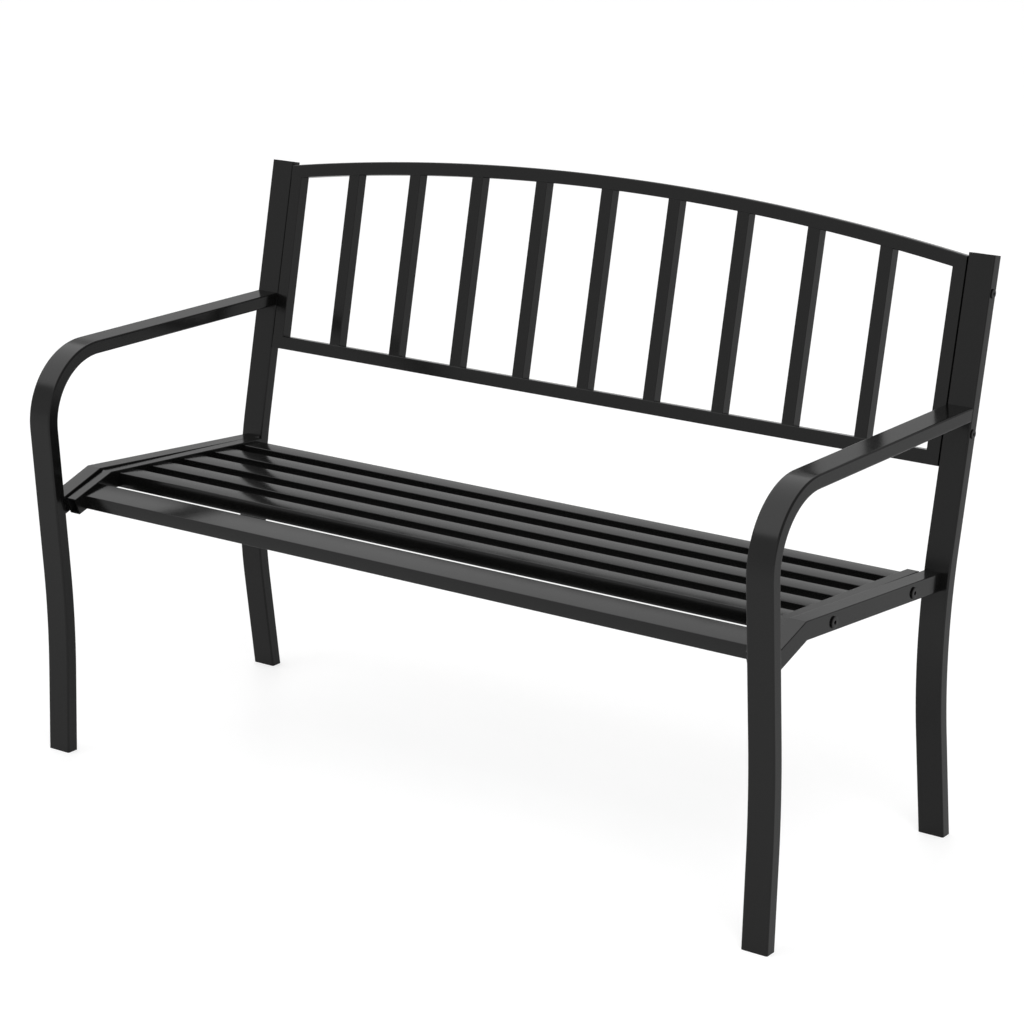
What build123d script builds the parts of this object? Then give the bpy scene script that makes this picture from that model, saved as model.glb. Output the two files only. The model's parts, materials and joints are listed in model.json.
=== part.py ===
from build123d import *
from math import asin, cos, degrees, radians, sin
import os

os.makedirs("parts", exist_ok=True)

# Slatted metal park bench, in millimetres and degrees.
# X runs along the bench, Y from its front to its back and Z up from the floor.
# Points of the side view are pairs: the depth behind the front foot's edge, and the height.

# Whole bench
bench_length = 1272.0
overrun = 20.0
tube_wall = 1.5
corner_cut = 1.5

# Tube of the legs, armrests and rear posts
frame_width = 40.0
frame_depth = 20.0

# Front leg and armrest, one bent tube, along its centreline
leg_foot_depth = 9.45
leg_foot_lean = 2.66
leg_foot_run = 125.7
leg_bow_radius = 1455.0
leg_top_lean = 3.75
arm_bend_radius = 101.7
arm_height = 613.0
arm_fall = 0.34

# Rear post, one bent tube, along its centreline
post_foot_depth = 490.3
post_foot_lean = 7.49
post_foot_run = 157.0
post_knee_radius = 793.0
back_recline = 12.29
post_height = 824.4

# Side rails, welded between the legs and the posts
side_rail_size = 26.0
side_rail_inset = 11.5
side_kink_depth = 97.9
side_kink_height = 413.7
side_rail_tilt = 4.89
side_nose_tilt = 18.47

# Seat rails, bolted to the side rails, a little behind and below them and tilted a little less
seat_rail_width = 19.05
seat_rail_height = 26.0
seat_setback = 3.7
seat_drop = 3.35
seat_tilt_ease = 0.57
seat_nose_ease = 1.0
seat_gap = 0.3
nose_end_gap = 8.4
rear_end_gap = 16.0

# Seat slats, between the seat rails
slat_width = 40.0
slat_height = 22.3
slat_count = 5
first_slat_margin = 12.7
last_slat_margin = 5.8
nose_slat_run = 42.6
nose_slat_drop = 3.7
nose_slat_tilt = 13.2

# Back panel, between the posts and flush with their front faces
back_tube = 20.0
back_gap = 1.2
back_end_drop = 5.4
back_height = 290.1
arch_rise = 46.0
back_slat_width = 20.0
back_slat_depth = 19.0
back_slat_spread = 3.2
back_slat_count = 9

# Button-head screws, larger in the seat than in the back, and the threaded inserts for them.
# A head's heights, crown and socket depth are shares of its diameter.
seat_shank = 8.0
seat_head = 16.5
seat_socket = 5.0
seat_insert_width = 11.0
back_shank = 6.0
back_head = 13.2
back_socket = 4.0
back_insert_width = 9.0
rim_share = 0.11
crown_share = 0.52
height_share = 0.205
socket_share = 0.14
hole_clearance = 0.5
screw_reach = 11.0
insert_length = 13.0
thread_clearance = 0.1
front_screw_run = 68.9
rear_screw_run = 89.0
seat_screw_drop = 1.2
upper_screw_inset = 46.5
lower_screw_inset = 50.9

# Plugs in the tubes' open ends
plug_depth = 15.0
plug_clearance = 0.1

# Places that follow from these sizes
frame_face = bench_length / 2
frame_x = frame_face - frame_width / 2
side_rail_face = frame_face - side_rail_inset
side_rail_x = side_rail_face - side_rail_size / 2
seat_rail_face = side_rail_face - side_rail_size - seat_gap
seat_rail_x = seat_rail_face - seat_rail_width / 2
seat_half = seat_rail_face - seat_rail_width
back_half = frame_face - frame_width - back_gap
side_reach = post_foot_depth + arm_height


# Shared shapes

def bore_outline(width, height, clearance=0):
    """The inside of a tube's cross-section, or what fills it with a clearance."""
    margin = tube_wall + clearance
    return Rectangle(width - 2 * margin, height - 2 * margin)


def tube_section(width, height):
    """The cross-section of a tube: a ring with its small outer corners broken."""
    outside = chamfer(Rectangle(width, height).vertices(), corner_cut)
    return outside - bore_outline(width, height)


def leaning(lean):
    """A step of one millimetre up the side view, leaning back from upright."""
    return Vector(sin(radians(lean)), cos(radians(lean)))


def sloping(slope):
    """A step of one millimetre back along the side view, rising from level."""
    return Vector(cos(radians(slope)), sin(radians(slope)))


def crossing(route, start, step):
    """The point of an upright's centreline that a straight line in the side view meets."""
    return route.closest_points(Line(start, start + side_reach * step))[0]


def side_path(route, x):
    """A side-view route, set upright at x along the bench."""
    return Pos(x, 0, 0) * (Plane.YZ * route)


def start_plane(path):
    """The plane square to the start of a path, with its own X along the bench."""
    return Plane(origin=path @ 0, x_dir=(1, 0, 0), z_dir=path % 0)


def stretch(outline, edge):
    """An outline carried along one stretch of a path: extruded if straight, revolved if bent."""
    start = start_plane(edge)
    if edge.geom_type == GeomType.LINE:
        return extrude(start * outline, amount=edge.length)
    spoke = edge @ 0 - edge.arc_center
    turn = Axis(edge.arc_center, spoke.cross(edge % 0))
    return revolve(start * outline, axis=turn, revolution_arc=degrees(edge.length / edge.radius))


def bent_bar(outline, route, x):
    """An outline carried along a side-view route of straight stretches and tangent bends."""
    first, *others = side_path(route, x).edges()
    bar = stretch(outline, first)
    for edge in others:
        bar += stretch(outline, edge)
    return bar


def kinked_bar(outline, route, x):
    """An outline carried along a side-view route of straight stretches with mitred corners."""
    path = side_path(route, x)
    return sweep(start_plane(path) * outline, path=path, transition=Transition.RIGHT)


def cross_tube(outline, centre, slope, half):
    """A straight tube along the bench, with its section turned by a slope in the side view."""
    ahead = sloping(slope)
    face = Plane(origin=(-half, centre.X, centre.Y), x_dir=(0, ahead.X, ahead.Y), z_dir=(1, 0, 0))
    return extrude(face * outline, amount=2 * half)


def other_side(piece):
    """The same piece at the other end of the bench."""
    return mirror(piece, about=Plane.YZ)


def facing_out(x, point):
    """The plane at x along the bench that faces away from its middle."""
    return Plane(origin=(x, point.X, point.Y), x_dir=(0, 1, 0), z_dir=(1, 0, 0))


def screw_hole(face, point, depth, shank):
    """The clearance hole for a screw, from outside a face inwards."""
    round_hole = Circle(shank / 2 + hole_clearance)
    return extrude(facing_out(face + overrun, point) * round_hole, amount=-overrun - depth)


def insert_outline(width):
    """The hexagon of a threaded insert and of its hole, by the width across its flats."""
    return RegularPolygon(width / 2, 6, major_radius=False)


def insert_hole(face, point, depth, width):
    """The hole for a threaded insert, from outside a face inwards."""
    return extrude(facing_out(face + overrun, point) * insert_outline(width), amount=-overrun - depth)


# Side-view routes of the two bent tubes, from below the floor to their upper ends

def post_route():
    """The rear post: up and forwards, round the knee, then up and back to its square top end."""
    up = leaning(-post_foot_lean)
    foot = Vector(post_foot_depth, 0)
    shin = Line(foot - overrun * up, foot + post_foot_run * up)
    knee = JernArc(shin @ 1, shin % 1, post_knee_radius, -(post_foot_lean + back_recline))
    end_height = post_height - frame_depth / 2 * sin(radians(back_recline))
    upper_run = (end_height - (knee @ 1).Y) / cos(radians(back_recline))
    upper = Line(knee @ 1, knee @ 1 + upper_run * leaning(back_recline))
    return Wire([shin, knee, upper])


def leg_route(post):
    """The front leg: up from the foot, bowed forwards, round the bend and back to the post."""
    up = leaning(leg_foot_lean)
    foot = Vector(leg_foot_depth, 0)
    shin = Line(foot - overrun * up, foot + leg_foot_run * up)
    bow = JernArc(shin @ 1, shin % 1, leg_bow_radius, leg_foot_lean + leg_top_lean)
    bend_rise = arm_bend_radius * (cos(radians(arm_fall)) + sin(radians(leg_top_lean)))
    upper_run = (arm_height - bend_rise - (bow @ 1).Y) / cos(radians(leg_top_lean))
    upper = Line(bow @ 1, bow @ 1 + upper_run * leaning(-leg_top_lean))
    bend = JernArc(upper @ 1, upper % 1, arm_bend_radius, -(90 + arm_fall + leg_top_lean))
    arm = Line(bend @ 1, crossing(post, bend @ 1, sloping(-arm_fall)))
    return Wire([shin, bow, upper, bend, arm])


post_line = post_route()
leg_line = leg_route(post_line)

frame_section = tube_section(frame_width, frame_depth)
cope_outline = Rectangle(frame_width + 2 * overrun, frame_depth)
post_cope = bent_bar(cope_outline, post_line, frame_x)
leg_cope = bent_bar(cope_outline, leg_line, frame_x)

# Side rails: a kinked centreline from the leg's to the post's

side_kink = Vector(side_kink_depth, side_kink_height)
side_front = crossing(leg_line, side_kink, -sloping(side_nose_tilt))
side_rear = crossing(post_line, side_kink, sloping(-side_rail_tilt))
side_rail_line = Polyline(side_front, side_kink, side_rear)

# Seat rails: a kinked centreline that stops short of the leg and of the post

seat_tilt = side_rail_tilt - seat_tilt_ease
seat_nose_tilt = side_nose_tilt - seat_nose_ease
seat_kink = side_kink + Vector(seat_setback, -seat_drop)
seat_nose_back = sloping(seat_nose_tilt)
seat_back = sloping(-seat_tilt)
leg_distance = (crossing(leg_line, seat_kink, -seat_nose_back) - seat_kink).length
post_distance = (crossing(post_line, seat_kink, seat_back) - seat_kink).length
nose_run = leg_distance - frame_depth / 2 - nose_end_gap
rear_run = post_distance - frame_depth / 2 - rear_end_gap
seat_front = seat_kink - nose_run * seat_nose_back
seat_rear = seat_kink + rear_run * seat_back
seat_rail_line = Polyline(seat_front, seat_kink, seat_rear)

# Places of the screws, on the side rails and on the posts

side_rail_down = -leaning(side_rail_tilt)
seat_screw_points = [
    side_kink + front_screw_run * sloping(-side_rail_tilt) + seat_screw_drop * side_rail_down,
    side_rear - rear_screw_run * sloping(-side_rail_tilt) + seat_screw_drop * side_rail_down,
]
post_end = post_line @ 1
back_screw_points = [
    post_end - (back_end_drop + upper_screw_inset) * leaning(back_recline),
    post_end - (back_end_drop + back_height - lower_screw_inset) * leaning(back_recline),
]


# Side frames

def leg_and_arm():
    """One bent tube: cut flat on the floor, with its armrest coped to the post's front face."""
    tube = bent_bar(frame_section, leg_line, frame_x) - post_cope
    return split(tube, bisect_by=Plane.XY, keep=Keep.TOP)


def rear_post():
    """One bent tube: cut flat on the floor, square at the top, with two through holes for screws."""
    tube = split(bent_bar(frame_section, post_line, frame_x), bisect_by=Plane.XY, keep=Keep.TOP)
    for point in back_screw_points:
        tube -= screw_hole(frame_face, point, frame_width + overrun, back_shank)
    return tube


def side_rail():
    """A kinked square tube, coped to the leg in front and to the post behind."""
    outline = tube_section(side_rail_size, side_rail_size)
    tube = kinked_bar(outline, side_rail_line, side_rail_x) - leg_cope - post_cope
    for point in seat_screw_points:
        tube -= screw_hole(side_rail_face, point, side_rail_size + overrun, seat_shank)
    return tube


# Seat

def seat_rail():
    """A kinked tube, square at both ends, with two holes in its outer wall for the inserts."""
    outline = tube_section(seat_rail_width, seat_rail_height)
    tube = kinked_bar(outline, seat_rail_line, seat_rail_x)
    for point in seat_screw_points:
        tube -= insert_hole(seat_rail_face, point, seat_rail_width / 2, seat_insert_width)
    return tube


def seat_slats():
    """The front slat on the falling nose of the rails, then the level ones, evenly spaced."""
    outline = tube_section(slat_width, slat_height)
    nose_place = seat_kink - nose_slat_run * seat_nose_back - nose_slat_drop * leaning(-seat_nose_tilt)
    slats = [cross_tube(outline, nose_place, nose_slat_tilt, seat_half)]
    first = first_slat_margin + slat_width / 2
    last = rear_run - last_slat_margin - slat_width / 2
    drop = (seat_rail_height - slat_height) / 2
    for number in range(slat_count):
        run = first + (last - first) * number / (slat_count - 1)
        place = seat_kink + run * seat_back - drop * leaning(seat_tilt)
        slats.append(cross_tube(outline, place, -seat_tilt, seat_half))
    return slats


# Back panel, drawn on the plane of the posts' front faces: its X runs along the bench,
# its Y up the recline from the posts' top ends, and its Z out of the front

post_front = post_end - frame_depth / 2 * sloping(-back_recline)
back_plane = Plane(
    origin=(0, post_front.X, post_front.Y),
    x_dir=(1, 0, 0),
    z_dir=(0, -cos(radians(back_recline)), sin(radians(back_recline))),
)
back_top = -back_end_drop
back_bottom = back_top - back_height
arch_radius = (back_half ** 2 + arch_rise ** 2) / (2 * arch_rise)
arch_centre = back_top + arch_rise - arch_radius
side_bar_x = back_half - back_tube / 2
back_section = tube_section(back_tube, back_tube)


def back_arch():
    """The bent top rail: a shallow arc with its ends cut upright, beside the posts."""
    turn = degrees(asin((back_half + overrun) / arch_radius))
    hub = Axis((0, arch_centre, 0), (0, 0, 1))
    crown = Plane(origin=(0, arch_centre + arch_radius - back_tube / 2, -back_tube / 2), z_dir=(1, 0, 0))
    end_face = (crown * back_section).rotate(hub, -turn)
    arch = revolve(end_face, axis=hub, revolution_arc=2 * turn)
    return arch & Box(2 * back_half, 2 * arch_radius, 2 * back_tube)


def back_bottom_rail():
    """The straight lower rail, as long as the arch."""
    place = (-back_half, back_bottom + back_tube / 2, -back_tube / 2)
    face = Plane(origin=place, x_dir=(0, 1, 0), z_dir=(1, 0, 0))
    return extrude(face * back_section, amount=2 * back_half)


def back_upright(outline, x):
    """A tube that stands on the lower rail and is coped to the arch's underside."""
    foot = back_bottom + back_tube
    face = Plane(origin=(x, foot, -back_tube / 2), x_dir=(-1, 0, 0), z_dir=(0, 1, 0))
    tube = extrude(face * outline, amount=back_top + arch_rise - foot)
    under_arch = Cylinder(arch_radius - back_tube, 2 * back_tube)
    return tube & (Pos(0, arch_centre, -back_tube / 2) * under_arch)


def back_side_bar():
    """An upright beside a post, with two holes in its outer wall for the inserts."""
    bar = back_plane * back_upright(back_section, side_bar_x)
    for point in back_screw_points:
        bar -= insert_hole(back_half, point, back_tube / 2, back_insert_width)
    return bar


def back_slats():
    """Upright slats, evenly spaced, with bays a little narrower beside the side bars."""
    outline = tube_section(back_slat_width, back_slat_depth)
    half_span = side_bar_x + back_slat_spread
    pitch = 2 * half_span / (back_slat_count + 1)
    slats = []
    for number in range(back_slat_count):
        x = (number + 1) * pitch - half_span
        slats.append(back_plane * back_upright(outline, x))
    return slats


# Screws and inserts

def screw(shank, head, socket, length):
    """A button-head screw along Z, with its head above zero and its shank below."""
    stem = shank / 2
    rim = head / 2
    rim_height = rim_share * head
    crown = crown_share * rim
    top = height_share * head
    rise = top - rim_height
    dome_radius = ((rim - crown) ** 2 + rise ** 2) / (2 * rise)
    below = Polyline((0, top), (0, -length), (stem, -length), (stem, 0), (rim, 0), (rim, rim_height))
    dome = RadiusArc((rim, rim_height), (crown, top), -dome_radius)
    flat = Line((crown, top), (0, top))
    body = revolve(Plane.XZ * make_face([*below.edges(), dome, flat]), axis=Axis.Z)
    hexagon = RegularPolygon(socket / 2, 6, major_radius=False)
    return body - extrude(Pos(0, 0, top - socket_share * head) * hexagon, amount=top)


def insert(shank, width):
    """A threaded insert along Z, flush with the tube's face at zero."""
    bore = Circle(shank / 2 + thread_clearance)
    return extrude(insert_outline(width) - bore, amount=-insert_length)


def both_ends(piece, x, points):
    """Copies of a piece that point outwards from x, at both ends of the bench."""
    copies = []
    for point in points:
        copy = facing_out(x, point) * piece
        copies.append(copy)
        copies.append(other_side(copy))
    return Compound([solid for copy in copies for solid in copy.solids()])


# Plugs

def foot_plug(route):
    """A plug in a tube's foot, cut flat with it on the floor."""
    outline = bore_outline(frame_width, frame_depth, plug_clearance)
    start = start_plane(side_path(route, frame_x))
    plug = extrude(start * outline, amount=overrun + plug_depth)
    return split(plug, bisect_by=Plane.XY, keep=Keep.TOP)


def end_plug(route, x, width, height, position):
    """A plug that is flush with one square end of a tube."""
    path = side_path(route, x)
    inward = path % position if position == 0 else -(path % position)
    face = Plane(origin=path @ position, x_dir=(1, 0, 0), z_dir=inward)
    return extrude(face * bore_outline(width, height, plug_clearance), amount=plug_depth)


# All the pieces, by name

pieces = {}


def add_pair(name, piece):
    """Adds a piece at the right-hand end and its mirror image at the left-hand end."""
    pieces[name + "_right"] = piece
    pieces[name + "_left"] = other_side(piece)


add_pair("front_leg_arm", leg_and_arm())
add_pair("rear_post", rear_post())
add_pair("side_rail", side_rail())
add_pair("seat_rail", seat_rail())
for number, slat in enumerate(seat_slats()):
    pieces[f"seat_slat_{number + 1}"] = slat
pieces["back_arch"] = back_plane * back_arch()
pieces["back_bottom_rail"] = back_plane * back_bottom_rail()
add_pair("back_side_bar", back_side_bar())
for number, slat in enumerate(back_slats()):
    pieces[f"back_slat_{number + 1}"] = slat

seat_screw = screw(seat_shank, seat_head, seat_socket, side_rail_size + seat_gap + screw_reach)
back_screw = screw(back_shank, back_head, back_socket, frame_width + back_gap + screw_reach)
seat_insert = insert(seat_shank, seat_insert_width)
back_insert = insert(back_shank, back_insert_width)
pieces["seat_screws"] = both_ends(seat_screw, side_rail_face, seat_screw_points)
pieces["back_screws"] = both_ends(back_screw, frame_face, back_screw_points)
pieces["seat_inserts"] = both_ends(seat_insert, seat_rail_face, seat_screw_points)
pieces["back_inserts"] = both_ends(back_insert, back_half, back_screw_points)

add_pair("front_foot_plug", foot_plug(leg_line))
add_pair("rear_foot_plug", foot_plug(post_line))
add_pair("post_top_plug", end_plug(post_line, frame_x, frame_width, frame_depth, 1))
for place, position in (("front", 0), ("rear", 1)):
    plug = end_plug(seat_rail_line, seat_rail_x, seat_rail_width, seat_rail_height, position)
    add_pair(f"seat_rail_{place}_plug", plug)

# The origin goes on the floor, under the middle of the bench

bounds = Compound([solid for piece in pieces.values() for solid in piece.solids()]).bounding_box()
centring = Pos(0, -(bounds.min.Y + bounds.max.Y) / 2, 0)
for name, piece in pieces.items():
    export_step(centring * piece, f"parts/{name}.step")
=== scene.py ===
import json
from math import asin, cos, hypot, pi, radians, sin, sqrt

import bpy
import numpy as np
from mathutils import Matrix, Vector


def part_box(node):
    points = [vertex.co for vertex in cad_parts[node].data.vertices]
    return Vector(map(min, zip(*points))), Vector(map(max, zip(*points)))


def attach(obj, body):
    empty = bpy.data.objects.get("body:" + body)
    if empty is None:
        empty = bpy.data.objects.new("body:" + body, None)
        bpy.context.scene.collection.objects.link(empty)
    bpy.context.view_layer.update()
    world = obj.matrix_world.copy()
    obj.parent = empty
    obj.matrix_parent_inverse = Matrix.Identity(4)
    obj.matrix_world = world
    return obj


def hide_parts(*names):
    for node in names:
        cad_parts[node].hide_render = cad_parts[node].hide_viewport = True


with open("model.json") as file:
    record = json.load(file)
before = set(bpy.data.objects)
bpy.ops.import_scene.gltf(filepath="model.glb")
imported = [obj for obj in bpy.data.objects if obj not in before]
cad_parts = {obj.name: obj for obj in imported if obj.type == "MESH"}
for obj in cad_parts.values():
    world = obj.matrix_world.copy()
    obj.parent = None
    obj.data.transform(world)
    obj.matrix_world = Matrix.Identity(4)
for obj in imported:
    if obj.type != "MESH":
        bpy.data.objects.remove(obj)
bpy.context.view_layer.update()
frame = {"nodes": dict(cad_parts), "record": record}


# Front legs and armrests
# Each front leg and its armrest are one rectangular steel tube, cut flat on the floor. It bows a little
# forwards, is bent back round a former at the elbow and runs level to the rear post, where it is welded.
# The whole bench is powder coated black: a thick, smooth coat with the faint dimples of sprayed powder.

frame_width = 0.040
frame_depth = 0.020
tube_wall = 0.0015
frame_corner = 0.0026
bore_corner = 0.0002
corner_steps = 6
flat_margin = 0.0003
near_end_share = 0.03
shading_break = radians(19)
feet = {mount["name"]: np.array(mount["pos_m"]) for mount in frame["record"]["mounts"]}
sides = (("left", -1), ("right", 1))
along = np.array([1.0, 0, 0])
leg_foot = feet["front_foot_right"]
leg_foot_lean = radians(2.66)
leg_foot_run = 0.1257
leg_bow_radius = 1.455
leg_bow_steps = 8
leg_top_lean = radians(-3.75)
arm_bend_radius = 0.1017
arm_bend_steps = 40
arm_height = 0.613
arm_lean = radians(90.34)
back_recline = radians(12.29)
peel_size = 0.0012
wave_size = 0.035
wave_depth = 0.00001
cloud_size = 0.018
cloud_tint = 0.3
cloud_roughness = 0.05
wear_size = 0.006
wear_lightness = 1.6
wear_smoothness = 0.03
coat_ior = 1.35
paint_black = (0.0038, 0.0038, 0.0037, 1)
paint_roughness = 0.18
paint_peel = 0.0000012


def side_route(start, lean, stretches):
    """Points and leans of a tube's centreline in the side view, as (depth, height) and angles from upright.

    A stretch is a length, a turn and a number of steps. Along it the lean grows evenly by the turn, and the
    place is the integral of (sin lean, cos lean) over the length: a line where the turn is nought, and
    otherwise an arc whose radius is the length over the turn. Lines also get a station close to each end,
    so that the shading of a bend stays on the bend.
    """
    points, leans = [np.array([start])], [np.array([lean])]
    line_shares = np.array([near_end_share, 1 - near_end_share, 1])
    for length, turn, steps in stretches:
        here, now = points[-1][-1], leans[-1][-1]
        share = np.arange(1, steps + 1) / steps if turn else line_shares
        ahead = now + turn * share
        if turn:
            way = np.stack([np.cos(now) - np.cos(ahead), np.sin(ahead) - np.sin(now)], 1) * length / turn
        else:
            way = length * share[:, None] * np.array([sin(now), cos(now)])
        points.append(here + way)
        leans.append(ahead)
    return np.concatenate(points), np.concatenate(leans)


def run_to(points, leans, plane):
    """How far a route's end is from a plane, measured along its lean. The plane is a point and a normal."""
    place, normal = plane
    way = np.array([0, sin(leans[-1]), cos(leans[-1])])
    return float((place - np.r_[0, points[-1]]) @ normal / (way @ normal))


def ring(width, depth, corner, margin):
    """The outline of a rectangle with round corners, once round.

    Each corner is centre + corner * (cos t, sin t) over a quarter turn, with one more point a margin before
    and after it on the flats, so that the flats shade flat. Without a margin they shade a little swollen.
    """
    turn = np.linspace(0, pi / 2, corner_steps + 1)
    arc = corner * np.stack([np.cos(turn), np.sin(turn)], 1)
    if margin:
        arc = np.concatenate([[[corner, -margin]], arc, [[-margin, corner]]])
    spread = np.array([width / 2 - corner, depth / 2 - corner])
    return np.concatenate([
        arc + spread,
        arc[:, ::-1] * [-1, 1] + spread * [-1, 1],
        -arc - spread,
        arc[:, ::-1] * [1, -1] + spread * [1, -1],
    ])


def on_plane(points, way, plane):
    """Points slid along a direction until they lie on a plane, given as a point and a normal."""
    place, normal = plane
    return points + ((place - points) @ normal / (way @ normal))[:, None] * way


def side_quads(number):
    """The quads between one row of points and the next, each row closed on itself."""
    after = np.roll(number, -1, 1)
    return np.stack([number[:-1], after[:-1], after[1:], number[1:]], -1).reshape(-1, 4)


def closed_mesh(name, points, quads):
    """A mesh of quads, turned so that its faces point outwards: the sum of its corner volumes is positive."""
    a, b, c, d = (points[quads[:, k]] for k in range(4))
    volume = np.einsum("ij,ij->", a, np.cross(b, c) + np.cross(c, d))
    quads = quads if volume > 0 else quads[:, ::-1]
    mesh = bpy.data.meshes.new(name)
    mesh.from_pydata(points.tolist(), [], quads.tolist())
    mesh.polygons.foreach_set("use_smooth", np.ones(len(quads), dtype=bool))
    mesh.set_sharp_from_angle(angle=shading_break)
    mesh.update()
    piece = bpy.data.objects.new(name, mesh)
    bpy.context.scene.collection.objects.link(piece)
    return piece


def tube(name, centres, across, normal, section, first_cut=None, last_cut=None, margin=flat_margin):
    """A hollow rectangular tube with round corners, carried along a path. Its section is a width, a depth
    and the corners' radius.

    A point of its skin is centre(s) + a(t) * across(s) + b(t) * normal(s), where (a, b) runs round the
    section's outline. The bore is the outline drawn in by the wall, and rings join the two at the ends.
    A cut slides the end's ring along the tube onto a plane. The attribute edge is 1 on the round corners.
    """
    width, depth, corner = section
    outer = ring(width, depth, corner, margin)
    inner = ring(width - 2 * tube_wall, depth - 2 * tube_wall, bore_corner, margin)
    across, normal = np.broadcast_to(across, centres.shape), np.broadcast_to(normal, centres.shape)
    skins = [
        centres[:, None] + loop[None, :, :1] * across[:, None] + loop[None, :, 1:] * normal[:, None]
        for loop in (outer, inner)
    ]
    for skin in skins:
        if first_cut:
            skin[0] = on_plane(skin[0], centres[1] - centres[0], first_cut)
        if last_cut:
            skin[-1] = on_plane(skin[-1], centres[-1] - centres[-2], last_cut)
    stations, count = skins[0].shape[:2]
    number = np.arange(stations * count).reshape(stations, count)
    after = np.roll(number, -1, 1)
    skin_quads = side_quads(number)
    bore = number.size
    first = np.stack([number[0], number[0] + bore, after[0] + bore, after[0]], -1)
    last = np.stack([number[-1], after[-1], after[-1] + bore, number[-1] + bore], -1)
    quads = np.concatenate([skin_quads, skin_quads[:, ::-1] + bore, first, last])
    piece = closed_mesh(name, np.concatenate([skin.reshape(-1, 3) for skin in skins]), quads)
    on_corner = np.tile(np.r_[0, np.ones(len(outer) // 4 - 2), 0], 4)
    edge = piece.data.attributes.new("edge", "FLOAT", "POINT")
    edge.data.foreach_set("value", np.tile(on_corner, 2 * stations).astype(np.float32))
    return piece


def upright_tube(name, x, points, leans, section, first_cut=None, last_cut=None, stretch=1.0):
    """A tube in a side view plane: across it is the bench's own X, and its normal leans with the route.

    The stretch lengthens the normal at a mitre, by 1 over the cosine of half its turn.
    """
    flat = np.zeros(len(leans))
    centres = np.column_stack([flat + x, points])
    normal = np.column_stack([flat, np.cos(leans), -np.sin(leans)]) * np.reshape(stretch, (-1, 1))
    return tube(name, centres, along, normal, section, first_cut, last_cut)


class Value:
    """One output of a material's nodes. Arithmetic on it adds Math nodes."""

    def __init__(self, tree, socket=None):
        self.tree = tree
        self.socket = socket

    def node(self, kind, settings, sockets, output=0):
        """Adds a node, gives it its settings, then the values or links of its sockets; returns an output."""
        made = self.tree.nodes.new(kind)
        for name, setting in settings.items():
            setattr(made, name, setting)
        for name, value in sockets.items():
            if isinstance(value, Value):
                self.tree.links.new(value.socket, made.inputs[name])
            else:
                made.inputs[name].default_value = value
        return Value(self.tree, made.outputs[output] if len(made.outputs) else None)

    def math(self, operation, *values):
        return self.node("ShaderNodeMath", {"operation": operation}, dict(enumerate(values)))

    def parts(self):
        """The X, Y and Z of a vector."""
        split = self.node("ShaderNodeSeparateXYZ", {}, {"Vector": self}).socket.node
        return [Value(self.tree, output) for output in split.outputs]

    def __add__(self, other):
        return self.math("ADD", self, other)

    def __sub__(self, other):
        return self.math("SUBTRACT", self, other)

    def __rsub__(self, other):
        return self.math("SUBTRACT", other, self)

    def __mul__(self, other):
        return self.math("MULTIPLY", self, other)

    __radd__ = __add__
    __rmul__ = __mul__


def new_material(name):
    """An empty material, with the object's own coordinates in metres to build on."""
    material = bpy.data.materials.new(name)
    material.use_nodes = True
    material.node_tree.nodes.clear()
    place = Value(material.node_tree).node("ShaderNodeTexCoord", {}, {}, "Object")
    return material, place


def noise(place, size, detail=2.0, roughness=0.5):
    """Noise with lumps of about a size in metres, from 0 to 1 round a middle of one half."""
    sockets = {"Vector": place, "Scale": 0.5 / size, "Detail": detail, "Roughness": roughness}
    return place.node("ShaderNodeTexNoise", {}, sockets, "Fac")


def mixed(mask, low, high):
    """Two colours mixed by a mask."""
    sockets = {0: mask, 6: low, 7: high}
    return mask.node("ShaderNodeMix", {"data_type": "RGBA"}, sockets, 2)


def surface(place, sockets):
    """Ends a material with one Principled surface."""
    shader = place.node("ShaderNodeBsdfPrincipled", {}, sockets)
    place.node("ShaderNodeOutputMaterial", {}, {"Surface": shader})


def powder_coat(name, coat, roughness, peel_depth):
    """Black powder coat: orange peel a millimetre or two across over a slow waviness of the tube's flats,
    a sheen that varies a little, and corners where the coat is thinner, smoother and a touch lighter."""
    material, place = new_material(name)
    peel = noise(place, peel_size, detail=1.0)
    waves = noise(place, wave_size, detail=1.0)
    cloud = noise(place, cloud_size, detail=3.0)
    corner = place.node("ShaderNodeAttribute", {"attribute_name": "edge"}, {}, "Fac")
    worn = corner * noise(place, wear_size, detail=4.0, roughness=0.65)
    lighter = tuple(wear_lightness * share for share in coat[:3]) + (1,)
    height = peel * peel_depth + waves * wave_depth
    bump = place.node("ShaderNodeBump", {}, {"Strength": 1.0, "Distance": 1.0, "Height": height})
    surface(place, {
        "Base Color": mixed(worn + (cloud - 0.5) * cloud_tint, coat, lighter),
        "Roughness": roughness + (cloud - 0.5) * cloud_roughness - worn * wear_smoothness,
        "IOR": coat_ior,
        "Normal": bump,
    })
    return material


def dress(piece, material, nodes):
    """Gives a new piece its finish and its place on the bench, instead of the nodes that it stands for."""
    piece.data.materials.append(material)
    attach(piece, "root")
    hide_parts(*nodes)


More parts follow.
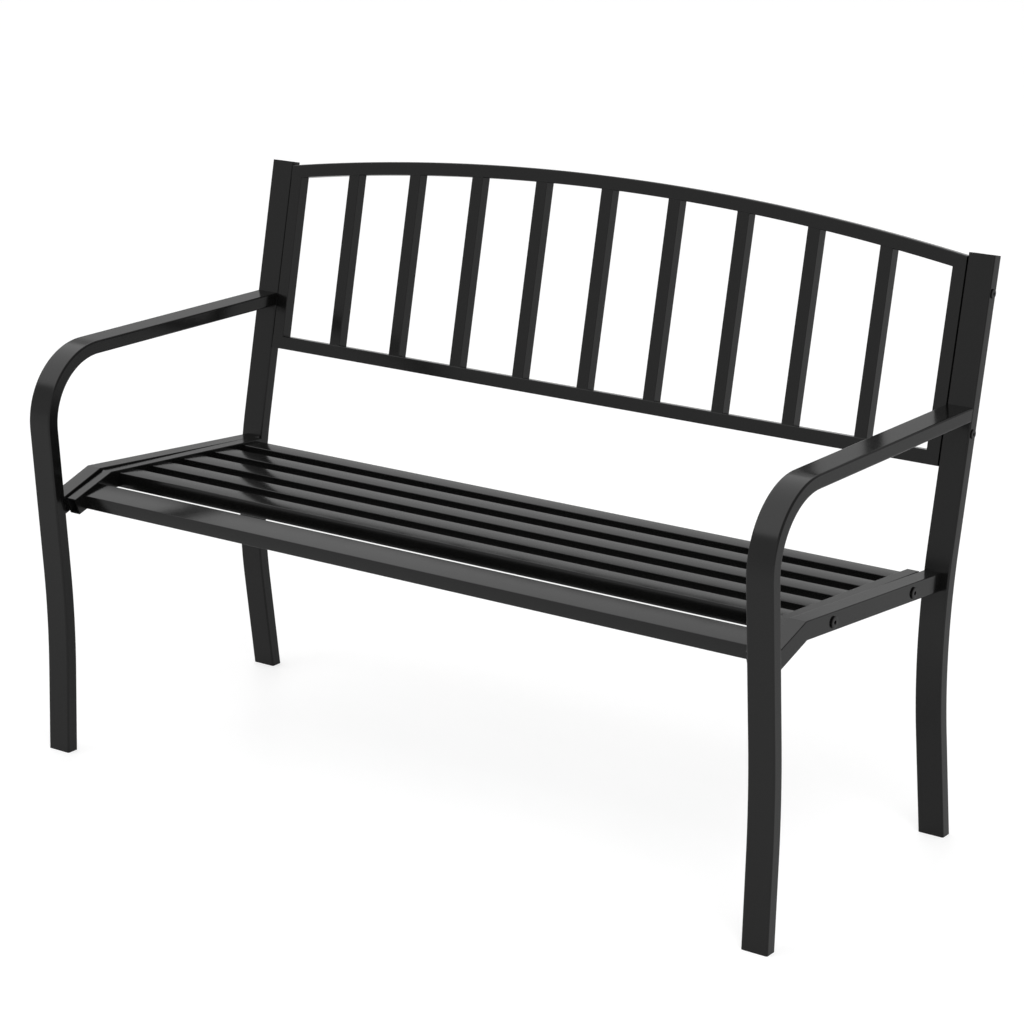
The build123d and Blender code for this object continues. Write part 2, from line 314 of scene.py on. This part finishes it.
paint = powder_coat("powder_coat", paint_black, paint_roughness, paint_peel)
frame_section = (frame_width, frame_depth, frame_corner)
frame_x = abs(leg_foot[0])
bow_turn = leg_top_lean - leg_foot_lean
bend_turn = arm_lean - leg_top_lean
leg_stretches = [(leg_foot_run, 0, 0), (-leg_bow_radius * bow_turn, bow_turn, leg_bow_steps)]
bow_end = side_route(leg_foot[1:], leg_foot_lean, leg_stretches)[0][-1]
bend_rise = arm_bend_radius * (sin(arm_lean) - sin(leg_top_lean))
leg_upper_run = (arm_height - bend_rise - bow_end[1]) / cos(leg_top_lean)
leg_stretches += [(leg_upper_run, 0, 0), (arm_bend_radius * bend_turn, bend_turn, arm_bend_steps)]
floor_plane = (np.zeros(3), np.array([0, 0, 1.0]))
post_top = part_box("rear_post_right")[1]
post_top_rear = np.array([0, post_top[1], post_top[2] - frame_depth * sin(back_recline)])
back_out = np.array([0, -cos(back_recline), sin(back_recline)])
back_up = np.array([0, sin(back_recline), cos(back_recline)])
back_origin = post_top_rear + frame_depth * back_out
post_front_plane = (back_origin, back_out)
bent = side_route(leg_foot[1:], leg_foot_lean, leg_stretches)
leg_stretches.append((run_to(*bent, post_front_plane), 0, 0))
leg_points, leg_leans = side_route(leg_foot[1:], leg_foot_lean, leg_stretches)
for side, sign in sides:
    leg = upright_tube(
        f"leg_and_arm_{side}", sign * frame_x, leg_points, leg_leans,
        frame_section, floor_plane, post_front_plane,
    )
    dress(leg, paint, [f"front_leg_arm_{side}"])


# Rear posts
# One rectangular tube each: it leans forwards up to the seat, is bent over a wide former behind it and
# reclines behind the back. Its top is cut square and plugged, and its foot is cut flat on the floor.

post_foot = feet["rear_foot_right"]
post_foot_lean = radians(-7.49)
post_foot_run = 0.157
post_knee_radius = 0.793
post_knee_steps = 24

knee_turn = back_recline - post_foot_lean
post_stretches = [(post_foot_run, 0, 0), (post_knee_radius * knee_turn, knee_turn, post_knee_steps)]
post_end_plane = (post_top_rear, back_up)
bent = side_route(post_foot[1:], post_foot_lean, post_stretches)
post_stretches.append((run_to(*bent, post_end_plane), 0, 0))
post_points, post_leans = side_route(post_foot[1:], post_foot_lean, post_stretches)
for side, sign in sides:
    post = upright_tube(
        f"post_{side}", sign * frame_x, post_points, post_leans,
        frame_section, floor_plane, post_end_plane,
    )
    dress(post, paint, [f"rear_post_{side}"])


# Side rails
# A square tube between each leg and post, sawn and welded at a mitre where the seat's nose begins to fall.
# Both ends are coped to the bent tubes, and its outer face lies inside theirs.

side_rail_size = 0.026
small_corner = 0.001
side_rail_tilt = radians(4.89)
side_nose_tilt = radians(18.47)
side_kink_setback = 0.08845
side_kink_height = 0.4137
cope_bite = 0.0001


def meeting(points, leans, start, way):
    """The place and the lean of an upright's centreline where a line meets it, in the side view.

    The stations' distances from the line, start + t * way, are interpolated to nought.
    """
    off = (points[:, 1] - start[1]) * abs(way[0]) - (points[:, 0] - start[0]) * way[1] * np.sign(way[0])
    place = np.array([np.interp(0, off, points[:, 0]), np.interp(0, off, points[:, 1])])
    return place, float(np.interp(0, off, leans))


def face_beside(place, lean, offset):
    """The plane of an upright tube's face at a place: offset along the tube's normal in the side view."""
    normal = np.array([0, cos(lean), -sin(lean)])
    return np.r_[0, place] + offset * normal, normal


def kinked_route(front, kink, rear):
    """The stations of a rail with one mitre: their points, their leans and the stretch of the section."""
    first, last = (np.arctan2(*(b - a)) for a, b in ((front, kink), (kink, rear)))
    half_turn = (last - first) / 2
    near = np.array([near_end_share, 1 - near_end_share])[:, None]
    points = np.vstack([front, front + near * (kink - front), kink, kink + near * (rear - kink), rear])
    leans = np.array([first, first, first, first + half_turn, last, last, last])
    return points, leans, np.array([1, 1, 1, 1 / cos(half_turn), 1, 1, 1])


side_kink = np.array([leg_foot[1] + side_kink_setback, side_kink_height])
low = leg_points[:, 1] < arm_height - arm_bend_radius
shin_points, shin_leans = leg_points[low], leg_leans[low]
nose_way = -np.array([cos(side_nose_tilt), sin(side_nose_tilt)])
rail_way = np.array([cos(side_rail_tilt), -sin(side_rail_tilt)])
rail_front, front_lean = meeting(shin_points, shin_leans, side_kink, nose_way)
rail_rear, rear_lean = meeting(post_points, post_leans, side_kink, rail_way)
leg_rear_face = face_beside(rail_front, front_lean, frame_depth / 2 - cope_bite)
post_front_face = face_beside(rail_rear, rear_lean, cope_bite - frame_depth / 2)
side_rail_x = np.mean([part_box("side_rail_right")[k][0] for k in (0, 1)])
rail_points, rail_leans, rail_stretch = kinked_route(rail_front, side_kink, rail_rear)
for side, sign in sides:
    rail = upright_tube(
        f"rail_{side}", sign * side_rail_x, rail_points, rail_leans,
        (side_rail_size, side_rail_size, small_corner), leg_rear_face, post_front_face, rail_stretch,
    )
    dress(rail, paint, [f"side_rail_{side}"])


# Seat
# One welded frame, bolted between the side rails and a little behind and below them: two kinked rails
# with plugged square ends, a slat on their falling nose and five level slats, all of rectangular tube.

seat_rail_width = 0.01905
seat_rail_height = 0.026
seat_tilt_ease = radians(0.57)
seat_nose_ease = radians(1.0)
seat_kink_setback = 0.0037
seat_kink_drop = 0.00335
nose_end_gap = 0.0084
rear_end_gap = 0.016
slat_count = 6
nose_slat_width = 0.040
slat_width = 0.038
slat_height = 0.0223
nose_slat_tilt = radians(13.2)

seat_tilt = side_rail_tilt - seat_tilt_ease
seat_nose_tilt = side_nose_tilt - seat_nose_ease
seat_kink = side_kink + np.array([seat_kink_setback, -seat_kink_drop])
nose_way = -np.array([cos(seat_nose_tilt), sin(seat_nose_tilt)])
seat_way = np.array([cos(seat_tilt), -sin(seat_tilt)])
leg_meets = meeting(shin_points, shin_leans, seat_kink, nose_way)[0] - seat_kink
post_meets = meeting(post_points, post_leans, seat_kink, seat_way)[0] - seat_kink
seat_front = seat_kink + nose_way * (hypot(*leg_meets) - frame_depth / 2 - nose_end_gap)
seat_rear = seat_kink + seat_way * (hypot(*post_meets) - frame_depth / 2 - rear_end_gap)
seat_points, seat_leans, seat_stretch = kinked_route(seat_front, seat_kink, seat_rear)
seat_rail_low, seat_rail_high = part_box("seat_rail_right")
seat_rail_x = (seat_rail_low[0] + seat_rail_high[0]) / 2
for side, sign in sides:
    rail = upright_tube(
        f"seat_bearer_{side}", sign * seat_rail_x, seat_points, seat_leans,
        (seat_rail_width, seat_rail_height, small_corner), stretch=seat_stretch,
    )
    dress(rail, paint, [f"seat_rail_{side}"])


def bar(name, node, ends, across, normal, section, margin=flat_margin):
    """A straight tube that stands for a node, square at both ends."""
    start, end = map(np.array, ends)
    centres = start + np.array([0, near_end_share, 1 - near_end_share, 1])[:, None] * (end - start)
    dress(tube(name, centres, across, normal, section, margin=margin), paint, [node])


for number in range(1, slat_count + 1):
    low_corner, high_corner = map(np.array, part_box(f"seat_slat_{number}"))
    middle = (low_corner + high_corner) / 2
    tilt, width = (nose_slat_tilt, nose_slat_width) if number == 1 else (-seat_tilt, slat_width)
    back_along, upwards = np.array([0, cos(tilt), sin(tilt)]), np.array([0, -sin(tilt), cos(tilt)])
    ends = [(low_corner[0], *middle[1:]), (high_corner[0], *middle[1:])]
    section = (width, slat_height, small_corner)
    bar(f"seat_bar_{number}", f"seat_slat_{number}", ends, back_along, upwards, section, 0)


# Back panel
# A second welded frame, bolted between the posts and flush with their fronts, all of square tube: a
# shallow arch on two uprights and a straight lower rail, with nine slats coped to the arch's underside.
# The welds are ground flush, so the uprights' faces run on over the corners of the arch and the rail.

back_tube = 0.020
back_slat_depth = 0.019
back_slat_count = 9
arch_corner = 0.0017
arch_stations = 49
back_end_drop = 0.0054
back_height = 0.2901
arch_rise = 0.046
upright_stations = np.array([0, 0.01, 0.24, 0.28])

back_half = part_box("back_bottom_rail")[1][0]
arch_radius = (back_half ** 2 + arch_rise ** 2) / (2 * arch_rise)
arch_line = arch_radius - back_tube / 2
arch_centre = arch_rise - back_end_drop - arch_radius
back_foot = back_tube - back_end_drop - back_height


def on_back(x, up, out):
    """A point of the back: along the bench, up the recline from the posts' tops, and out of their fronts."""
    return back_origin + np.multiply.outer(x, along) + np.multiply.outer(up, back_up) + out * back_out


half_turn = asin(back_half / arch_line)
angles = np.linspace(-half_turn, half_turn, arch_stations)
spokes = np.multiply.outer(np.sin(angles), along) + np.multiply.outer(np.cos(angles), back_up)
hub = on_back(0, arch_centre, -back_tube / 2)
ends = [(np.array([sign * back_half, 0, 0]), along) for sign in (-1, 1)]
arch = tube("arch", hub + arch_line * spokes, back_out, spokes, (back_tube, back_tube, arch_corner), *ends)
dress(arch, paint, ["back_arch"])

middle_up = back_foot - back_tube / 2
ends = [on_back(sign * back_half, middle_up, -back_tube / 2) for sign in (-1, 1)]
bar("lower_rail", "back_bottom_rail", ends, back_out, back_up, (back_tube, back_tube, small_corner))

uprights = [(f"back_post_{side}", f"back_side_bar_{side}", back_tube) for side in ("left", "right")]
for number in range(1, back_slat_count + 1):
    uprights.append((f"back_bar_{number}", f"back_slat_{number}", back_slat_depth))
for name, node, depth in uprights:
    low_corner, high_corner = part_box(node)
    x = (low_corner[0] + high_corner[0]) / 2
    spoke = x / arch_radius * along + sqrt(1 - (x / arch_radius) ** 2) * back_up
    under_arch = (hub + (arch_radius - back_tube + arch_corner) * spoke, spoke)
    foot = on_back(x, back_foot - small_corner, -back_tube / 2)
    centres = foot + upright_stations[:, None] * back_up
    upright = tube(name, centres, along, back_out, (back_tube, depth, small_corner), last_cut=under_arch)
    dress(upright, paint, [node])


# Screws
# Button-head screws with hexagon sockets hold the seat to the side rails and the back to the posts, the
# seat's a size larger. They are coated black too, in a thinner and duller coat than the frame's.

seat_screw = {"shank": 0.008, "head": 0.0165, "socket": 0.005, "length": 0.0373}
back_screw = {"shank": 0.006, "head": 0.0132, "socket": 0.004, "length": 0.0522}
front_screw_run = 0.0689
rear_screw_run = 0.0890
seat_screw_drop = 0.0012
upper_screw_inset = 0.0465
lower_screw_inset = 0.0509
screw_sides = 72
crown_steps = 12
crown_share = 0.34
height_share = 0.14
rim_height_share = 0.11
foot_share = 0.92
shoulder_share = 0.94
shoulder_height_share = 0.1
tip_bevel = 0.0006
socket_rim = 0.0009
socket_bevel = 0.0002
drill_share = 0.9
drill_tip_share = 0.1
drill_depth = 0.0007
screw_colour = (0.0048, 0.0047, 0.0046, 1)
screw_roughness = 0.26
screw_peel = 0.0000006

screw_black = powder_coat("screw_coating", screw_colour, screw_roughness, screw_peel)


def button_screws(name, node, face, places, shank, head, socket, length):
    """Screws that point outwards from both faces of the bench, at side-view places.

    One screw is a profile of radius and height, turned round its axis in even steps: point = (height,
    r cos t, r sin t). The head narrows towards the face it sits on, and its crown is a quarter ellipse
    from the rim to the flat round the socket. In the socket, r is the distance to a hexagon's side: half
    its width over the cosine of the angle from the side's middle. A screw at the other end of the bench
    is the same one, turned half round the upright.
    """
    rim, key = head / 2, socket / 2
    crown, top, rim_height = crown_share * head, height_share * head, rim_height_share * head
    sweep = np.linspace(0, pi / 2, crown_steps)
    radii = crown + (rim - crown) * np.cos(sweep)
    heights = rim_height + (top - rim_height) * np.sin(sweep)
    profile = np.vstack([
        [(shank / 2 - tip_bevel, -length, 0), (shank / 2, tip_bevel - length, 0), (shank / 2, 0, 0)],
        [(foot_share * rim, 0, 0), (shoulder_share * rim, shoulder_height_share * rim_height, 0)],
        np.column_stack([radii, heights, 0 * radii]),
        [(key + socket_rim, top, 0), (key + socket_bevel, top, 1), (key, top - socket_bevel, 1)],
        [(key, 0, 1), (drill_share * key, 0, 0), (drill_tip_share * key, -drill_depth, 0)],
    ])
    turn = np.arange(screw_sides) * 2 * pi / screw_sides
    hexagon = 1 / np.cos((turn + pi / 6) % (pi / 3) - pi / 6)
    reach = profile[:, :1] * (1 + profile[:, 2:] * (hexagon - 1))
    height = np.broadcast_to(profile[:, 1:2], reach.shape)
    one = np.stack([height, reach * np.cos(turn), reach * np.sin(turn)], -1).reshape(-1, 3)
    number = np.arange(len(one)).reshape(reach.shape)
    left = np.arange(screw_sides // 2 - 1)
    right = screw_sides - 1 - left
    strips = np.stack([left, left + 1, right - 1, right], -1)
    quads = np.concatenate([side_quads(number), strips[:, ::-1] + number[0, 0], strips + number[-1, 0]])
    screws = [
        np.array([sign, sign, 1]) * one + np.array([sign * face, *place])
        for place in places for sign in (1, -1)
    ]
    numbers = quads + len(one) * np.arange(len(screws))[:, None, None]
    piece = closed_mesh(name, np.concatenate(screws), numbers.reshape(-1, 4))
    dress(piece, screw_black, [node])


rail_down = -np.array([sin(side_rail_tilt), cos(side_rail_tilt)])
seat_places = [
    side_kink + front_screw_run * rail_way + seat_screw_drop * rail_down,
    rail_rear - rear_screw_run * rail_way + seat_screw_drop * rail_down,
]
back_places = [
    on_back(0, -back_end_drop - upper_screw_inset, -frame_depth / 2)[1:],
    on_back(0, -back_end_drop - back_height + lower_screw_inset, -frame_depth / 2)[1:],
]
button_screws("seat_bolts", "seat_screws", side_rail_x + side_rail_size / 2, seat_places, **seat_screw)
button_screws("back_bolts", "back_screws", frame_x + frame_width / 2, back_places, **back_screw)


# Inserts and plugs
# The threaded inserts that the screws pull on are zinc plated steel, pressed into hexagonal holes. The
# tubes' open ends are closed by black moulded plastic plugs, a little duller than the paint. They are
# flush and flat, but for the seat rails', which are cups, hollow outwards.

spangle_scale = 900.0
zinc_dull = (0.52, 0.52, 0.50, 1)
zinc_bright = (0.66, 0.66, 0.65, 1)
zinc_roughness = 0.34
brushing_size = 0.0008
brushing_roughness = 0.15
brushing_depth = 0.000008
plastic_dark = (0.0038, 0.0038, 0.0040, 1)
plastic_light = (0.0060, 0.0060, 0.0062, 1)
plastic_roughness = 0.8
plastic_ior = 1.46
plastic_specular = 0.15
flow_size = 0.011
flow_roughness = 0.1
grain_size = 0.0007
grain_depth = 0.00003
cup_wall = 0.0008
cup_run = 0.015
cup_depth = 0.012
cup_room = 0.0001

zinc, place = new_material("insert_zinc")
cells = {"Vector": place, "Scale": spangle_scale}
spangle = place.node("ShaderNodeTexVoronoi", {"feature": "F1"}, cells, "Color")
grey = place.node("ShaderNodeSeparateColor", {}, {"Color": spangle})
brushed = noise(place, brushing_size, detail=3.0)
surface(place, {
    "Base Color": mixed(grey * 0.5 + brushed * 0.5, zinc_dull, zinc_bright),
    "Metallic": 1.0,
    "Roughness": zinc_roughness + (brushed - 0.5) * brushing_roughness,
    "Normal": place.node("ShaderNodeBump", {}, {"Distance": 1.0, "Height": brushed * brushing_depth}),
})

plastic, place = new_material("plug_plastic")
grain = noise(place, grain_size)
flow = noise(place, flow_size, detail=3.0)
surface(place, {
    "Base Color": mixed(flow, plastic_dark, plastic_light),
    "Roughness": plastic_roughness + (flow - 0.5) * flow_roughness,
    "IOR": plastic_ior,
    "Specular IOR Level": plastic_specular,
    "Normal": place.node("ShaderNodeBump", {}, {"Distance": 1.0, "Height": grain * grain_depth}),
})


def cup_plug(name, node, mouth, way):
    """A plug with its cup towards the mouth of a seat rail, whose inside runs from the mouth along a way.

    Four rings follow its skin: up the outside to the mouth, in over the rim and down the inside. A point of
    a ring is mouth + depth * way + a * along + b * lift, where (a, b) is a corner of a rectangle and lift
    is square to the other two. One quad closes the blind end and one the cup's floor.
    """
    lift = np.cross(way, along)
    outside = np.array([seat_rail_width, seat_rail_height]) / 2 - tube_wall - cup_room
    inside = outside - cup_wall
    signs = np.array([[1, 1], [-1, 1], [-1, -1], [1, -1]])
    loops = [(outside, cup_run), (outside, 0), (inside, 0), (inside, cup_depth)]
    rings = [
        mouth + depth * way + signs[:, :1] * half[0] * along + signs[:, 1:] * half[1] * lift
        for half, depth in loops
    ]
    number = np.arange(len(loops) * len(signs)).reshape(len(loops), len(signs))
    quads = np.concatenate([side_quads(number), [number[0, ::-1], number[-1]]])
    dress(closed_mesh(name, np.concatenate(rings), quads), plastic, [node])


for side, sign in sides:
    for end, start, ahead in (("front", 0, 1), ("rear", -1, -2)):
        way = seat_points[ahead] - seat_points[start]
        mouth = np.r_[sign * seat_rail_x, seat_points[start]]
        cup_plug(f"cup_{end}_{side}", f"seat_rail_{end}_plug_{side}", mouth, np.r_[0, way / hypot(*way)])

for name, node in frame["nodes"].items():
    if name.endswith(("_inserts", "_plug_left", "_plug_right")):
        node.data.materials.clear()
        node.data.materials.append(zinc if name.endswith("_inserts") else plastic)


# Camera
# The photograph's viewpoint: in front of the bench, to its right and above it, with a long lens.

image_width = 1024
focal_pixels = 2995.45
shift_pixels = (0.2, 0.94)
camera_right = 2.4260
camera_ahead = 3.06685
camera_height = 1.6606
camera_yaw = radians(35.673)
camera_pitch = radians(16.778)

camera = bpy.data.objects.new("camera", bpy.data.cameras.new("camera"))
bpy.context.scene.collection.objects.link(camera)
bpy.context.scene.camera = camera
camera.data.sensor_width = 36
camera.data.lens = camera.data.sensor_width * focal_pixels / image_width
camera.data.shift_x, camera.data.shift_y = (shift / image_width for shift in shift_pixels)
camera.data.clip_end = 200
camera.location = (camera_right, leg_foot[1] - camera_ahead, camera_height)
camera.rotation_euler = (pi / 2 - camera_pitch, 0, camera_yaw)


# Floor and light
# A white studio sweep, lit from above its left-hand side by one broad soft panel, with paler walls in
# front than behind. A weak, wide lamp from the front right gives the faint shadow on the floor.

floor_half = 60.0
card_white = (0.9, 0.9, 0.9, 1)
card_roughness = 0.4
glow_share = 0.55
glow_to_camera = 1.25
glow_behind = 0.61
glow_front_gain = 0.42
glow_slant = 0.25
glow_fade = (-0.4, 1.5)
panel_foot_fade = (0.50, 0.545)
panel_side_fade = (0.18, 0.34)
panel_gain = 1.6
panel_back_loss = 0.62
ceiling_white = 0.40
walls_behind = 0.50
walls_front_gain = 0.385
walls_fade = (0.2, 1.0)
lamp_size = 1.8
lamp_power = 60
lamp_x, lamp_y, lamp_z = 2.2, -1.6, 3.2


def step(value, low, high):
    """A smooth step from 0 to 1 as a value goes from low to high."""
    sockets = {"Value": value, "From Min": low, "From Max": high}
    return value.node("ShaderNodeMapRange", {"interpolation_type": "SMOOTHSTEP"}, sockets)


corners = floor_half * np.array([[-1, -1, 0], [1, -1, 0], [1, 1, 0], [-1, 1, 0]])
floor_mesh = bpy.data.meshes.new("floor")
floor_mesh.from_pydata(corners.tolist(), [], [[0, 1, 2, 3]])
floor = bpy.data.objects.new("floor", floor_mesh)
bpy.context.scene.collection.objects.link(floor)

white_floor, place = new_material("white_floor")
to_camera = place.node("ShaderNodeLightPath", {}, {}, "Is Camera Ray")
glossy = place.node("ShaderNodeLightPath", {}, {}, "Is Glossy Ray")
clear = place.node("ShaderNodeLightPath", {}, {}, "Is Transmission Ray")
seen = place.math("MINIMUM", to_camera + glossy + clear, 1.0)
card = place.node("ShaderNodeBsdfPrincipled", {}, {"Base Color": card_white, "Roughness": card_roughness})
floor_x, floor_y, _ = place.parts()
# Painted light: the floor's glow as the bench's reflections see it is brighter towards the front and the
# right than behind, standing in for lamp light falling across the floor. Camera rays see it evenly white.
painted_floor_light = glow_behind + step(floor_x * glow_slant - floor_y, *glow_fade) * glow_front_gain
white = painted_floor_light + to_camera * (glow_to_camera - painted_floor_light)
glow = place.node("ShaderNodeEmission", {}, {"Color": white, "Strength": 1.0})
both = place.node("ShaderNodeMixShader", {}, {0: seen * glow_share, 1: card, 2: glow})
place.node("ShaderNodeOutputMaterial", {}, {"Surface": both})
floor.data.materials.append(white_floor)

world = bpy.data.worlds.new("studio")
bpy.context.scene.world = world
world.use_nodes = True
world.node_tree.nodes.clear()
way = Value(world.node_tree).node("ShaderNodeTexCoord", {}, {}, "Generated")
across_way, back_way, up_way = way.parts()
overhead = step(up_way, *panel_foot_fade)
leftwards = step(across_way * -1.0, *panel_side_fade)
walls = walls_behind + step(back_way * -1.0, *walls_fade) * walls_front_gain
ceiling = ceiling_white + leftwards * (panel_gain - back_way * panel_back_loss)
sky = walls + (ceiling - walls) * overhead
to_camera = way.node("ShaderNodeLightPath", {}, {}, "Is Camera Ray")
clear = way.node("ShaderNodeLightPath", {}, {}, "Is Transmission Ray")
sky = sky + (to_camera + clear) * (1 - sky)
backdrop = way.node("ShaderNodeBackground", {}, {"Color": (1, 1, 1, 1), "Strength": sky})
way.node("ShaderNodeOutputWorld", {}, {"Surface": backdrop})

lamp = bpy.data.objects.new("soft_lamp", bpy.data.lights.new("soft_lamp", "AREA"))
bpy.context.scene.collection.objects.link(lamp)
lamp.data.shape = "DISK"
lamp.data.size = lamp_size
lamp.data.energy = lamp_power
lamp.location = (lamp_x, lamp_y, lamp_z)
lamp_tilt = asin(hypot(lamp_x, lamp_y) / hypot(lamp_x, lamp_y, lamp_z))
lamp.rotation_euler = (lamp_tilt, 0, np.arctan2(lamp_x, -lamp_y))
lamp.visible_glossy = False

bpy.context.scene.view_settings.view_transform = "Standard"
